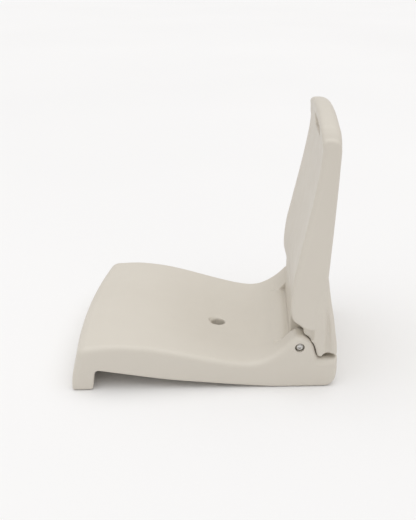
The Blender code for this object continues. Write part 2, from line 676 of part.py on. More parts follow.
def build_back(parts, cutters, look):
    back = add_part(back_slab("back_body"), look, parts)
    combine(back, add_cutter(hand_slot("hand_slot"), cutters), "DIFFERENCE")
    hub = add_cutter(extruded("back_hub", hub_outline(), HUB_HALF_WIDTH), cutters)
    sections = [[mm(*point) for point in tail_section(z)] for z in TAIL_SECTIONS]
    tail = add_cutter(lofted("back_tail", sections), cutters)
    combine(back, tail, "UNION")
    combine(back, hub, "UNION")
    combine(back, add_cutter(back_cavity("back_cavity"), cutters), "DIFFERENCE")
    combine(back, add_cutter(tail_cavity("tail_cavity"), cutters), "DIFFERENCE")
    combine(back, add_cutter(foot_recess("foot_recess"), cutters), "DIFFERENCE", "MANIFOLD")
    spot = (0, BACK_VENT_Z)
    vent = round_bar("back_vent_hole", VENT_RADIUS, 188, 215, "Y", 24, spot)
    combine(back, add_cutter(vent, cutters), "DIFFERENCE", "MANIFOLD")
    recess = round_bar("back_vent_recess", PLUG_RADIUS + FIT, BACK_VENT_FLOOR, 215, "Y", 32, spot)
    combine(back, add_cutter(recess, cutters), "DIFFERENCE", "MANIFOLD")
    for side, word in SIDES:
        low, high = sorted((side * (INSERT_START - 6), side * (HUB_HALF_WIDTH + 2)))
        bore = round_bar(f"hub_bore_{word}", INSERT_RADIUS + FIT, low, high, "X", 28, (PIVOT_Y, PIVOT_Z))
        combine(back, add_cutter(bore, cutters), "DIFFERENCE", "MANIFOLD")
        pocket = round_bar(f"buffer_pocket_{word}", BUFFER_STEM + FIT, TAIL_BOTTOM - 5,
                           FOOT_RECESS + BUFFER_DEPTH, sides=24, around=(side * BUFFER_X, BUFFER_Y))
        combine(back, add_cutter(pocket, cutters), "DIFFERENCE", "MANIFOLD")
    return back


def build_hinge(side, word, parts, cutters, looks, joint):
    """One side's bolt, washer, bushing, spacer, insert and stop buffer."""
    clear = BOLT_RADIUS + FIT
    made = bolt(f"pivot_bolt_{word}", side)
    low, high = sorted((side * SOCKET_FLOOR, side * (BOLT_HEAD_START + 9)))
    socket = round_bar(f"socket_{word}", SOCKET_RADIUS, low, high, "X", 6, (PIVOT_Y, PIVOT_Z))
    combine(made, add_cutter(socket, cutters), "DIFFERENCE")
    hang(add_part(made, looks["steel"], parts), joint)
    floor = HEAD_RECESS_FLOOR
    washer = tube(f"bolt_washer_{word}", clear, HEAD_WASHER_RADIUS, floor + 0.1,
                  BOLT_HEAD_START - 0.1, side, 0.2)
    add_part(washer, looks["steel"], parts)
    bushing = tube(f"ear_bushing_{word}", clear, BUSHING_RADIUS, BUSHING_START + FIT, floor - FIT, side)
    add_part(bushing, looks["sliding"], parts)
    spacer = tube(f"thrust_washer_{word}", clear, THRUST_RADIUS, HUB_HALF_WIDTH + FIT,
                  POCKET_HALF_WIDTH - FIT, side)
    add_part(spacer, looks["sliding"], parts)
    hang(add_part(insert(f"hub_insert_{word}", side), looks["brass"], parts), joint)
    hang(add_part(buffer(f"stop_buffer_{word}", side), looks["rubber"], parts), joint)


def hang(obj, joint):
    """Makes the joint's empty the parent, with the object left where it is."""
    obj.parent = joint
    obj.matrix_parent_inverse = Matrix.Translation(-joint.location)


def main():
    start_scene()
    parts = collection("folding_floor_seat")
    cutters = collection("cutters")
    looks = {
        "plastic": material("seat plastic", PLASTIC, 0.55),
        "plug": material("plug plastic", PLUG_PLASTIC, 0.6),
        "sliding": material("sliding plastic", SLIDING_PLASTIC, 0.4),
        "steel": material("zinc plated steel", STEEL, 0.35, 1.0),
        "brass": material("brass", BRASS, 0.35, 1.0),
        "rubber": material("buffer rubber", RUBBER, 0.8),
    }
    joint = bpy.data.objects.new("back_pivot", None)
    joint.location = mm(0, PIVOT_Y, PIVOT_Z)
    parts.objects.link(joint)
    build_seat(parts, cutters, looks["plastic"])
    hang(build_back(parts, cutters, looks["plastic"]), joint)
    for side, word in SIDES:
        build_hinge(side, word, parts, cutters, looks, joint)
    seat_plug = plug("seat_vent_plug", mm(*SEAT_VENT, SEAT_VENT_FLOOR), (0, 0, 1))
    add_part(seat_plug, looks["plug"], parts)
    back_plug = plug("back_vent_plug", mm(0, BACK_VENT_FLOOR, BACK_VENT_Z), (0, -1, 0))
    hang(add_part(back_plug, looks["plug"], parts), joint)


main()
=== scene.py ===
"""Folding floor seat of moulded plastic, on a pale studio floor.

The two mouldings are rebuilt finer than the CAD nodes they replace, from the same outlines, and
their edges are softened as a mould's are. All other pieces are the CAD nodes with better materials.
"""

import json
import math

import bmesh
import bpy
from mathutils import Matrix, Vector


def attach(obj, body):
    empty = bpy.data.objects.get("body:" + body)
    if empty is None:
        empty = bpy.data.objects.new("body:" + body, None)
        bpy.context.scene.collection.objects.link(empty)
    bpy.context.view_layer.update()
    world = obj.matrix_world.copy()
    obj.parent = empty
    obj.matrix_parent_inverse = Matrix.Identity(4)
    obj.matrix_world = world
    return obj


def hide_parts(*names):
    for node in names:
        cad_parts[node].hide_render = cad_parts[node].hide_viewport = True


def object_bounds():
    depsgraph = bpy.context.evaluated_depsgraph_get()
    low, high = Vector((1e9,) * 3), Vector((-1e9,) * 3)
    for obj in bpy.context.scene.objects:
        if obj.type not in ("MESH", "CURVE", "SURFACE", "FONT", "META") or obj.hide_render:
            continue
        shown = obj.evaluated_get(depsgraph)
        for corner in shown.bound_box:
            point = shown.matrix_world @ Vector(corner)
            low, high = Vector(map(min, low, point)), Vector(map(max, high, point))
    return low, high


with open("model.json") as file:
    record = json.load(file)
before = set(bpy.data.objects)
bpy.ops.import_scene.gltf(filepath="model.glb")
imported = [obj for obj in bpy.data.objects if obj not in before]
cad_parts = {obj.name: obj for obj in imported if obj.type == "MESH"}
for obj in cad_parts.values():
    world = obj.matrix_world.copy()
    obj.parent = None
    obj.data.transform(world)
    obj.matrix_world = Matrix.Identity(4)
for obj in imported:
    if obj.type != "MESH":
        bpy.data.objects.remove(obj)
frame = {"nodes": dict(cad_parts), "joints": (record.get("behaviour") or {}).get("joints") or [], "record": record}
cad_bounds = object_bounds()
nodes = frame["nodes"]
pivot = Vector(frame["joints"][0]["pos_m"]) * 1000

MM = 0.001
ORIGIN_Y = -3.0  # the outlines' Y of the frame's origin
PIVOT_Y = pivot.y + ORIGIN_Y
PIVOT_Z = pivot.z

SEAT_REAR = 215.0
SEAT_HALF_WIDTH = 190.0
PLAN_TAPER = 0.0826
TAPER_FROM = -200.0
FRONT_BOW = 13.0
BOW_FROM = -60.0
BOW_FULL = -160.0

EAR_INNER = 103.0
POCKET_HALF_WIDTH = 102.7
POCKET_RADIUS = 18.7
POCKET_FLOOR = 48.0
LIP_Y = 137.0
LIP_Z = 59.0
LIP_ROLL = 4.5
LIP_ROLL_FROM = 122.0
RECESS_START = 112.0
SHOULDER_FALL = 28.0

DRAIN_Y = 18.0
DRAIN_RADIUS = 12.2
DRAIN_LIP = 4.0

TOP_FILLET = 9.0
NOSE_FILLET = 11.0  # the same edge where it comes round the front
NOSE_FILLET_SPAN = (-185.0, -130.0)
LEDGE_FILLET = 13.0
BOTTOM_FILLET = 2.5
NOSE_FILLET_FULL = 48.0  # the front's side edge reaches NOSE_FILLET at this height
LEDGE_FILLET_FULL = 45.0  # and the rear's reaches LEDGE_FILLET at this one
LEDGE_FROM = 185.0
EDGE_LIFT = 1.3  # the sides' bottom edges stand this far off the floor

BACK_TOP = 429.0
BACK_HALF_WIDTH = 161.0
BACK_WIDE_Z = 100.0
BACK_TAPER = 0.07
CORNER_START = 358.0
CORNER_REACH = 30.0
SQUEEZE_FROM = 288.0
CROWN_FROM = 402.0
ARCH_FALL = 0.00085
BACK_FILLET = 5.5

HUB_HALF_WIDTH = 99.5
HUB_RADIUS = 17.5
HUB_FRONT = 140.5
HUB_REAR = 187.0
HUB_TOP = 128.0
TAIL_BOTTOM = 52.3
TAIL_TOP = 206.0
TAIL_NARROWING = 0.17
TAIL_REAR_CORNER = 7.0
TAIL_FRONT_CORNER = 4.5
WING_UNDERCUT = 8.0
WING_UNDERCUT_Y = 175.5
GROOVE_Y = 198.5
GROOVE_DEPTH = 6.0
GROOVE_TOP = 160.0
FOOT_SPAN = (189.5, 210.0)
FOOT_RECESS = 56.3

SLOT_HALF_LENGTH = 52.0
SLOT_LOW = 383.0
SLOT_HIGH = 407.0

CORNER_STEPS = 8

# Bores and recesses. Those on the pivot run along X from the middle.
HEAD_RECESS = (7.8, 153.2, 180)  # radius, start and end
BUSHING_BORE = (6.3, 115, 165)
BOLT_THROAT = (4.3, 95, 120)
INSERT_BORE = (7.3, 67.5, 101.5)
BUFFER_BORE = (2.5, 45, 64.3)
BUFFER_X = 128.0
BUFFER_Y = 199.5
VENT_RADIUS = 4.0
PLUG_RECESS_RADIUS = 6.8
SEAT_VENT_Y = -60.0
SEAT_VENT_FLOOR = 19.0
BACK_VENT_Z = 140.0
BACK_VENT_FLOOR = 199.5

VOXEL = 1.5  # grain of the softened skin
KEPT_SHARE = 0.5  # of its triangles
SEAT_SOFTENING = 6
BACK_SOFTENING = 5

# Side outlines as (Y, Z), and the tail's two as (Z, Y), the same as the CAD's.
FRONT_FACE = [(-206, 0), (-208, 2.5), (-208, 13), (-206.6, 27), (-203.6, 38), (-200.6, 48)]
NOSE = [(-197.5, 56), (-193, 63), (-186.5, 69), (-177, 73.4)]
NOSE_MIDDLE = [(-200, 56), (-198, 63), (-194.5, 69), (-186, 73.4)]
RIM = [(-177, 73.4), (-160, 76), (-140, 76.8), (-100, 74.5), (-60, 68), (-20, 59), (18, 50.5),
       (50, 44.6), (72, 42.8), (88, 44.8), (103, 51), (118, 60.6), (127, 68), (136, 77.4), (143, 84.4),
       (150, 88.2), (156, 88.2), (163, 85.2), (169, 80.4), (174, 74), (177.5, 65.5), (180, 55.5),
       (182, 50.5), (185.5, 48), (215, 48)]
MIDDLE = [(-177, 73.4), (-160, 76), (-140, 76.6), (-100, 71.5), (-60, 60.5), (-20, 47.5),
          (18, 37.6), (50, 34.8), (80, 37.2), (112, 45.8)]
REAR_FACE = [(214.8, 48), (215, 30), (213.8, 18), (210.6, 9), (205, 3.6), (197, 0.7), (188, 0)]
UNDERSIDE = [(188, 0), (124, 0), (92, 2.2), (60, 4.8), (28, 7.6), (-17, 12), (-49, 15.4),
             (-81, 20), (-112.5, 25.2), (-144, 30.4), (-164, 33.6)]
FOOT_REAR = [(-169, 32.5), (-171, 28), (-174.2, 6), (-175.6, 1.4), (-178, 0)]

BACK_FRONT = [(150.9, 108.3), (143.2, 113.5), (139.2, 121), (137.3, 132), (137.3, 150),
              (138.8, 168), (141.4, 188), (146.5, 212), (151.8, 238), (156.8, 262), (162.3, 289),
              (167.5, 316), (171.6, 340), (174.8, 362), (176.6, 384), (175.6, 401), (173.2, 413)]
BACK_CROWN = [(172.2, 419), (173.4, 424.8), (177.5, 428.3), (185, 429), (193.5, 428.2),
              (200, 424.4), (203.4, 417.5), (204.6, 408)]
BACK_REAR = [(204.4, 386), (203.4, 350), (201.8, 318), (200, 285), (198, 250), (195.8, 217),
             (193.9, 188)]
BACK_UNDER = [(191.6, 173), (188.6, 158), (185, 140), (182.4, 122), (179.6, 105), (176, 100.4),
              (169, 99), (160, 101.4)]
TAIL_FRONT = [(52.3, 182.6), (57, 180.8), (66.5, 178.3), (75.4, 174.7), (78.6, 171.7), (81.7, 170),
              (85.6, 166.4), (88.1, 163), (89.3, 160.4), (92, 159.4), (100, 158.8), (115, 172),
              (206, 172)]
TAIL_REAR = [(52.3, 213.9), (66, 213.4), (93, 209.5), (124, 204.7), (145, 200.6), (166, 197.2),
             (186, 194.4), (206, 190.5)]

SIDES = ((1, "left"), (-1, "right"))

SKY_LIGHT = 0.60
SKY_COLOUR = (1.0, 0.965, 0.94, 1.0)
TOP_LIGHT = 1.44
TOP_LIGHT_COLOUR = (0.965, 0.99, 1.0)
TOP_LIGHT_PLACE = (0.25, 0.1, 3.0)
CAMERA_PLACE = (1.3494, 0.0680, 0.6834)
CAMERA_TARGET = (0, 0.003, 0.1541)
CAMERA_LENS = 57.9


def mm(x, y, z):
    """A place in the outlines' millimetres as a place in the frame."""
    return Vector((x * MM, (y - ORIGIN_Y) * MM, z * MM))


def blend(a, b, t):
    return a + (b - a) * t


def spread(start, end, count):
    return [blend(start, end, i / (count - 1)) for i in range(count)]


def curve_through(points):
    """A function that runs smoothly through the points, which rise in their first value."""
    steps = [b[0] - a[0] for a, b in zip(points, points[1:])]
    slopes = [(b[1] - a[1]) / step for a, b, step in zip(points, points[1:], steps)]
    tangents = [slopes[0]]
    for before, after, first, second in zip(slopes, slopes[1:], steps, steps[1:]):
        if before * after <= 0:
            tangents.append(0.0)
            continue
        near, far = 2 * second + first, second + 2 * first
        tangents.append((near + far) / (near / before + far / after))
    tangents.append(slopes[-1])

    def height(y):
        y = min(max(y, points[0][0]), points[-1][0])
        i = max(k for k in range(len(steps)) if points[k][0] <= y)
        t = (y - points[i][0]) / steps[i]
        low, high = points[i][1], points[i + 1][1]
        rise = steps[i] * (t * (1 - t) ** 2 * tangents[i] - t * t * (1 - t) * tangents[i + 1])
        return low + (high - low) * t * t * (3 - 2 * t) + rise

    return height


def refined(points, parts, closed=False):
    """More points on a smooth curve through these ones."""
    count = len(points)
    made = []
    for i in range(count if closed else count - 1):
        if closed:
            four = [Vector(points[(i + k) % count]) for k in (-1, 0, 1, 2)]
        else:
            four = [Vector(points[min(max(i + k, 0), count - 1)]) for k in (-1, 0, 1, 2)]
        a, b, c, d = four
        length = (c - b).length
        leaving = (c - a) / max((c - b).length + (b - a).length, 1e-6) * length
        arriving = (d - b) / max((d - c).length + (c - b).length, 1e-6) * length
        for k in range(parts):
            t = k / parts
            place = b * (2 * t**3 - 3 * t**2 + 1) + c * (3 * t**2 - 2 * t**3)
            place += leaving * (t**3 - 2 * t**2 + t) + arriving * (t**3 - t**2)
            made.append(tuple(place))
    if not closed:
        made.append(tuple(points[-1]))
    return made


rim_height = curve_through(RIM)
middle_height = curve_through(MIDDLE)


def seat_half_width(y):
    return SEAT_HALF_WIDTH - PLAN_TAPER * (y - TAPER_FROM)


def back_half_width(z):
    return BACK_HALF_WIDTH - BACK_TAPER * (z - BACK_WIDE_Z)


def bowed(x, y):
    """The seat's front is drawn straight and then bent forward in the middle."""
    ramp = min(1.0, max(0.0, (y - BOW_FROM) / (BOW_FULL - BOW_FROM)))
    return y - FRONT_BOW * ramp * ramp * (3 - 2 * ramp) * (1 - (x / SEAT_HALF_WIDTH) ** 2)


def dish(x, y):
    """1 along the seat's middle, easing to 0 at its rims."""
    reach = seat_half_width(y) - TOP_FILLET
    return max(0.0, 1 - (x / reach) ** 2) ** 1.5


def pocket_height(y):
    """The hollow behind the seat's rear lip, in which the back's hub turns."""
    across = y - PIVOT_Y
    if across > 0:
        return POCKET_FLOOR
    round_part = PIVOT_Z - math.sqrt(POCKET_RADIUS**2 - min(abs(across), POCKET_RADIUS) ** 2)
    return max(POCKET_FLOOR, round_part)


def seat_top(x, y):
    """Height of the seat's upper side. It steps up from the pocket to the shoulders."""
    rim = rim_height(y)
    if y <= RECESS_START:
        return rim - (rim - middle_height(y)) * dish(x, y)
    start = rim_height(RECESS_START)
    depth = start - middle_height(RECESS_START)
    if abs(x) >= EAR_INNER:
        grown = min(1.0, (y - RECESS_START) / 10)
        fall = (depth + (SHOULDER_FALL - depth) * grown) * dish(x, y)
        return max(rim - fall, min(rim, POCKET_FLOOR))
    if y > LIP_Y:
        return min(pocket_height(y), LIP_Z - LIP_ROLL)
    along = (y - RECESS_START) / (LIP_Y - RECESS_START)
    edge = start - depth * dish(x, RECESS_START)
    rolled = max(0.0, (y - LIP_ROLL_FROM) / (LIP_Y - LIP_ROLL_FROM))
    return edge + (LIP_Z - edge) * (1 - (1 - along) ** 1.3) - LIP_ROLL * rolled**1.6


def seat_rows():
    """Where the upper side's points lie along Y, at most 4 mm apart."""
    coarse = [-160, -130, -94, -58, -22, 14, 48, 75, 97, 112, 124, 134, 137, 138.6, 148.5, 162,
              172.5, 179, 182.5, 186, 198, 211]
    rows = []
    for a, b in zip(coarse, coarse[1:]):
        count = max(2, math.ceil((b - a) / 4))
        rows += [blend(a, b, i / count) for i in range(count)]
    return rows


SEAT_ROWS = seat_rows()
FRONT_POINTS = len(refined(FRONT_FACE + NOSE, 4))
REAR_POINTS = refined(REAR_FACE, 4)
UNDER_POINTS = refined(UNDERSIDE + FOOT_REAR, 3)


def edge_rounding(y):
    """Rounding of the seat's upper side edge, wider round the front."""
    full, gone = NOSE_FILLET_SPAN
    share = min(1.0, max(0.0, (y - full) / (gone - full)))
    return blend(NOSE_FILLET, TOP_FILLET, share * share * (3 - 2 * share))


def seat_outline(x):
    """The seat's section at x as (Y, Z, rounding of its side edge), up the front and down the rear."""
    crisp = min(1.0, max(0.0, 12 * (1 - abs(x) / SEAT_HALF_WIDTH)))
    nose = [(blend(a[0], b[0], crisp), a[1]) for a, b in zip(NOSE, NOSE_MIDDLE)]
    points = []
    for y, z in refined(FRONT_FACE + nose, 4):
        points.append((y, z, blend(BOTTOM_FILLET, NOSE_FILLET, min(1.0, z / NOSE_FILLET_FULL))))
    for y in SEAT_ROWS:
        grown = min(1.0, max(0.0, (y - 176) / 9))
        points.append((y, seat_top(x, y), blend(edge_rounding(y), LEDGE_FILLET, grown)))
    for y, z in REAR_POINTS:
        points.append((y, z, blend(BOTTOM_FILLET, LEDGE_FILLET, min(1.0, z / LEDGE_FILLET_FULL))))
    points += [(y, z, BOTTOM_FILLET) for y, z in UNDER_POINTS[1:]]
    return points


def inset_outline(points, depths):
    """Each point of a closed outline moved in along its corner by its own depth."""
    moved = []
    count = len(points)
    for i, (y, z) in enumerate(points):
        before = Vector(points[i - 1])
        after = Vector(points[(i + 1) % count])
        here = Vector((y, z))
        entering = (here - before).normalized()
        leaving = (after - here).normalized()
        normal = Vector((entering.y + leaving.y, -entering.x - leaving.x))
        if normal.length < 1e-6:
            normal = Vector((entering.y, -entering.x))
        normal.normalize()
        corner = max(0.5, normal.dot(Vector((entering.y, -entering.x))))
        moved.append(tuple(here + normal * (depths[i] / corner)))
    return moved


FILLET_ANGLES = [math.radians(a) for a in (11, 22, 34, 45, 56, 67, 79, 90)]


def seat_side_rings(side):
    """Rings from a shoulder's inner wall out to the rounded side edge."""
    rings = []
    for step in spread(0.0, 1.0, 12):
        ring = []
        for i, (y, _, rounding) in enumerate(seat_outline(EAR_INNER)):
            x = blend(EAR_INNER, seat_half_width(y) - rounding, step)
            z = seat_outline_height(i, x, y)
            ring.append((side * x, bowed(x, y), max(z, EDGE_LIFT) if step > 0.95 else z))
        rings.append(ring)
    outer = seat_outline(seat_half_width(SEAT_REAR) - TOP_FILLET / 4)
    outline = [(y, rim_height(y) if on_top(i) else z) for i, (y, z, _) in enumerate(outer)]
    roundings = [rounding for _, _, rounding in outer]
    for angle in FILLET_ANGLES:
        depths = [rounding * (1 - math.cos(angle)) for rounding in roundings]
        moved = inset_outline(outline, depths)
        ring = []
        for (y, z), (old_y, old_z), rounding, depth in zip(moved, outline, roundings, depths):
            if old_y > LEDGE_FROM and old_z > POCKET_FLOOR / 2:
                y = min(y, SEAT_REAR - depth)
                z = min(z, POCKET_FLOOR - LEDGE_FILLET * (1 - math.cos(angle)))
            x = seat_half_width(old_y) - rounding * (1 - math.sin(angle))
            ring.append((side * x, bowed(x, y), max(z, EDGE_LIFT)))
        rings.append(ring)
    return rings


def on_top(i):
    """Whether the seat outline's point i lies on the upper side."""
    return FRONT_POINTS <= i < FRONT_POINTS + len(SEAT_ROWS)


def seat_outline_height(i, x, y):
    return seat_top(x, y) if on_top(i) else EAR_OUTLINE[i][1]


EAR_OUTLINE = seat_outline(EAR_INNER)


def lofted(name, rings):
    """A closed body through rings of as many points each, with flat ends."""
    mesh = bmesh.new()
    rows = [[mesh.verts.new(mm(*point)) for point in ring] for ring in rings]
    count = len(rows[0])
    for row, after in zip(rows, rows[1:]):
        for i in range(count):
            j = (i + 1) % count
            mesh.faces.new((row[i], row[j], after[j], after[i]))
    mesh.faces.new(rows[0][::-1])
    mesh.faces.new(rows[-1])
    bmesh.ops.recalc_face_normals(mesh, faces=mesh.faces)
    bmesh.ops.triangulate(mesh, faces=[face for face in mesh.faces if len(face.verts) > 4])
    return finished(name, mesh)


def finished(name, mesh):
    data = bpy.data.meshes.new(name)
    mesh.to_mesh(data)
    mesh.free()
    obj = bpy.data.objects.new(name, data)
    bpy.context.scene.collection.objects.link(obj)
    return obj


def seat_blank(name):
    rings = seat_side_rings(-1)[::-1]
    for x in spread(-POCKET_HALF_WIDTH, POCKET_HALF_WIDTH, 35):
        rings.append([(x, bowed(x, y), z) for y, z, _ in seat_outline(x)])
    return lofted(name, rings + seat_side_rings(1))


def top_drop(x):
    """How far the back's top edge lies below its middle: an arch that turns down into the sides."""
    arch = BACK_TOP - ARCH_FALL * x * x
    over = max(0.0, abs(x) - (back_half_width(CORNER_START) - CORNER_REACH)) / CORNER_REACH
    fullness = math.sqrt(max(0.0, 1 - over * over))
    return BACK_TOP - CORNER_START - (arch - CORNER_START) * fullness


def lowered_top(z, x):
    """The crown keeps its thickness and moves down, and what is just below it is squeezed."""
    share = min(1.0, max(0.0, (z - SQUEEZE_FROM) / (CROWN_FROM - SQUEEZE_FROM)))
    return z - top_drop(x) * share * share * (3 - 2 * share)


front_lean = curve_through([(z, y) for y, z in BACK_FRONT])
rear_lean = curve_through([(z, y) for y, z in BACK_REAR[::-1]])


def lean(share, low, z):
    """How far a point lowered from z moves, so that it follows the front (share 0) or the rear (1)."""
    return blend(front_lean(low) - front_lean(z), rear_lean(low) - rear_lean(z), share)


def back_slab(name):
    """The part of the back above the shoulders, with its two wings and the arched top."""
    concave = curve_through([(100, 3.0), (150, 5.0), (240, 7.0), (330, 6.0), (395, 1.5), (430, 0.0)])
    base = refined(BACK_FRONT + BACK_CROWN + BACK_REAR + BACK_UNDER, 4, closed=True)
    hollowed = 4 * len(BACK_FRONT)
    rings = []
    for station in spread(0.0, 1.0, 26):
        ring = []
        share = 1 - (station * BACK_HALF_WIDTH / (BACK_HALF_WIDTH - BACK_FILLET)) ** 2
        for i, (y, z) in enumerate(base):
            low = lowered_top(z, station * (back_half_width(z) - BACK_FILLET))
            x = station * (back_half_width(low) - BACK_FILLET)
            hollow = concave(z) * max(0.0, share) if i < hollowed else 0.0
            rearward = min(1.0, max(0.0, (i - hollowed) / (4 * len(BACK_CROWN))))
            ring.append((x, y + hollow + lean(rearward, low, z), low))
        rings.append(ring)
    outline = [(y, z) for _, y, z in rings[-1]]
    for angle in FILLET_ANGLES:
        moved = inset_outline(outline, [BACK_FILLET * (1 - math.cos(angle))] * len(outline))
        ring = []
        for (y, z), (_, old_z) in zip(moved, outline):
            ring.append((back_half_width(old_z) - BACK_FILLET * (1 - math.sin(angle)), y, z))
        rings.append(ring)
    mirrored = [[(-x, y, z) for x, y, z in ring] for ring in rings[:0:-1]]
    return lofted(name, mirrored + rings)


def extruded(name, outline, half_width):
    return lofted(name, [[(x, y, z) for y, z in outline] for x in (-half_width, half_width)])


def hub_outline():
    """Section of the back's hub: flat in front, round below, and joined to the slab and tail."""
    points = [(160, HUB_TOP), (HUB_FRONT, HUB_TOP)]
    for degrees in range(222, 271, 3):
        angle = math.radians(degrees)
        points.append((PIVOT_Y + HUB_RADIUS * math.cos(angle), PIVOT_Z + HUB_RADIUS * math.sin(angle)))
    points += [(HUB_REAR, TAIL_BOTTOM + 1.5), (HUB_REAR, HUB_TOP)]
    return points[::-1]


tail_front = curve_through(TAIL_FRONT)
tail_rear = curve_through(TAIL_REAR)


def tail_section(z):
    """The tail's plan at z: a ridge behind each shoulder, a groove, and a round rear corner."""
    ridge = back_half_width(z) - 0.8 - TAIL_NARROWING * max(0.0, 105 - z)
    corner = ridge - 2.5
    front, rear = tail_front(z), tail_rear(z)
    valley = min(GROOVE_Y, rear - TAIL_REAR_CORNER - 1.5)
    groove = ridge - GROOVE_DEPTH * min(1.0, max(0.0, (GROOVE_TOP - z) / 45))
    half = []
    for step in range(CORNER_STEPS + 1):
        angle = math.pi / 2 * (1 - step / CORNER_STEPS)
        half.append((corner - TAIL_REAR_CORNER * (1 - math.cos(angle)),
                     rear - TAIL_REAR_CORNER * (1 - math.sin(angle))))
    turns = (half[-1], (groove, valley), (ridge, valley - 8))
    for (x, y), (next_x, next_y) in zip(turns, turns[1:]):
        for step in range(1, CORNER_STEPS + 1):
            along = step / CORNER_STEPS
            half.append((blend(x, next_x, (1 - math.cos(math.pi * along)) / 2), blend(y, next_y, along)))
    reach = max(TAIL_FRONT_CORNER, WING_UNDERCUT_Y - front)
    hollow = min(1.0, (reach - TAIL_FRONT_CORNER) / 3)
    for step in range(CORNER_STEPS + 1):
        angle = math.pi / 2 * step / CORNER_STEPS
        inwards = blend(TAIL_FRONT_CORNER * (1 - math.cos(angle)), WING_UNDERCUT * math.sin(angle), hollow)
        forwards = blend(math.sin(angle), 1 - math.cos(angle), hollow)
        half.append((ridge - inwards, front + reach * (1 - forwards)))
    plan = half + [(-x, y) for x, y in half[::-1]]
    return [(x, y, z) for x, y in plan]


def foot_recess(name):
    """Cutter across the tail's bottom that leaves a foot along its front and one along its rear."""
    front, rear = FOOT_SPAN
    outline = [(front, 40), (front, FOOT_RECESS - 1), (front + 1, FOOT_RECESS), (rear - 1, FOOT_RECESS),
               (rear, FOOT_RECESS - 1), (rear, 40)]
    return lofted(name, [[(x, y, z) for y, z in outline] for x in (-170, 170)])


def slot_cutter(name):
    """Cutter for the hand slot: a flat loop with round ends, through the back from front to rear."""
    radius = (SLOT_HIGH - SLOT_LOW) / 2
    middle = (SLOT_HIGH + SLOT_LOW) / 2
    outline = []
    for centre, first in ((SLOT_HALF_LENGTH - radius, -90), (radius - SLOT_HALF_LENGTH, 90)):
        for step in range(25):
            angle = math.radians(first + step * 7.5)
            outline.append((centre + radius * math.cos(angle), middle + radius * math.sin(angle)))
    return lofted(name, [[(x, y, z) for x, z in outline] for y in (140, 230)])


def turned(name, profile, place, direction, sides=64):
    """A solid of revolution. profile is (radius, distance along the direction), from the axis."""
    mesh = bmesh.new()
    points = [mesh.verts.new((radius * MM, 0.0, along * MM)) for radius, along in profile]
    for first, second in zip(points, points[1:]):
        mesh.edges.new((first, second))
    bmesh.ops.spin(mesh, geom=mesh.verts[:] + mesh.edges[:], axis=(0, 0, 1), cent=(0, 0, 0),
                   steps=sides, angle=2 * math.pi)
    bmesh.ops.remove_doubles(mesh, verts=mesh.verts, dist=1e-6)
    bmesh.ops.recalc_face_normals(mesh, faces=mesh.faces)
    turn = Vector((0, 0, 1)).rotation_difference(Vector(direction)).to_matrix().to_4x4()
    mesh.transform(Matrix.Translation(place) @ turn)
    return finished(name, mesh)


def bar(name, radius, start, end, place, direction=(0, 0, 1)):
    return turned(name, [(0, start), (radius, start), (radius, end), (0, end)], place, direction)


def drain_cutter(name):
    """Cutter for the drain hole, with a rounded lip where it meets the seat's surface."""
    surface = seat_top(0, DRAIN_Y)
    profile = [(0.0, -20.0), (DRAIN_RADIUS, -20.0)]
    for degrees in range(0, 91, 10):
        angle = math.radians(degrees)
        out = DRAIN_RADIUS + DRAIN_LIP * (1 - math.cos(angle))
        profile.append((out, surface - DRAIN_LIP + DRAIN_LIP * math.sin(angle) + 0.4))
    profile += [(DRAIN_RADIUS + DRAIN_LIP + 0.5, 90.0), (0.0, 90.0)]
    return turned(name, profile, mm(0, DRAIN_Y, 0), (0, 0, 1))


def apply_modifiers(obj):
    bpy.context.view_layer.update()
    shaped = obj.evaluated_get(bpy.context.evaluated_depsgraph_get())
    data = bpy.data.meshes.new_from_object(shaped)
    obj.modifiers.clear()
    old = obj.data
    obj.data = data
    bpy.data.meshes.remove(old)


def cut(obj, cutters):
    for cutter in cutters:
        made = obj.modifiers.new(cutter.name, "BOOLEAN")
        made.operation = "DIFFERENCE"
        made.object = cutter
        made.solver = "MANIFOLD"
    apply_modifiers(obj)
    for cutter in cutters:
        bpy.data.objects.remove(cutter, do_unlink=True)


def joined(obj, others):
    mesh = bmesh.new()
    mesh.from_mesh(obj.data)
    for other in others:
        mesh.from_mesh(other.data)
        bpy.data.objects.remove(other, do_unlink=True)
    mesh.to_mesh(obj.data)
    mesh.free()


def soften(obj, voxel, rounds, keep):
    """Runs all the obj's solids together and softens every edge and inner corner."""
    remesh = obj.modifiers.new("skin", "REMESH")
    remesh.mode = "VOXEL"
    remesh.voxel_size = voxel * MM
    remesh.use_smooth_shade = True
    smooth = obj.modifiers.new("soften", "SMOOTH")
    smooth.factor = 0.5
    smooth.iterations = rounds
    fewer = obj.modifiers.new("fewer", "DECIMATE")
    fewer.ratio = keep
    apply_modifiers(obj)


def held_inside(obj):
    """Brings what softening or a fine curve left outside the CAD's box back onto it."""
    low, high = cad_bounds
    for vertex in obj.data.vertices:
        vertex.co = [min(max(value, low[i]), high[i]) for i, value in enumerate(vertex.co)]


def seat_moulding():
    seat = seat_blank("seat_moulding")
    cut(seat, [drain_cutter("drain")])
    soften(seat, VOXEL, SEAT_SOFTENING, KEPT_SHARE)
    held_inside(seat)
    vent = mm(0, SEAT_VENT_Y, 0)
    centre = mm(0, PIVOT_Y, PIVOT_Z)
    cutters = [bar("vent_recess", PLUG_RECESS_RADIUS, -5, SEAT_VENT_FLOOR, vent),
               bar("vent", VENT_RADIUS, 10, 35, vent)]
    for side, word in SIDES:
        cutters.append(bar(f"recess_{word}", *HEAD_RECESS, centre, (side, 0, 0)))
        cutters.append(bar(f"bore_{word}", *BUSHING_BORE, centre, (side, 0, 0)))
        cutters.append(bar(f"throat_{word}", *BOLT_THROAT, centre, (side, 0, 0)))
    cut(seat, cutters)
    return seat


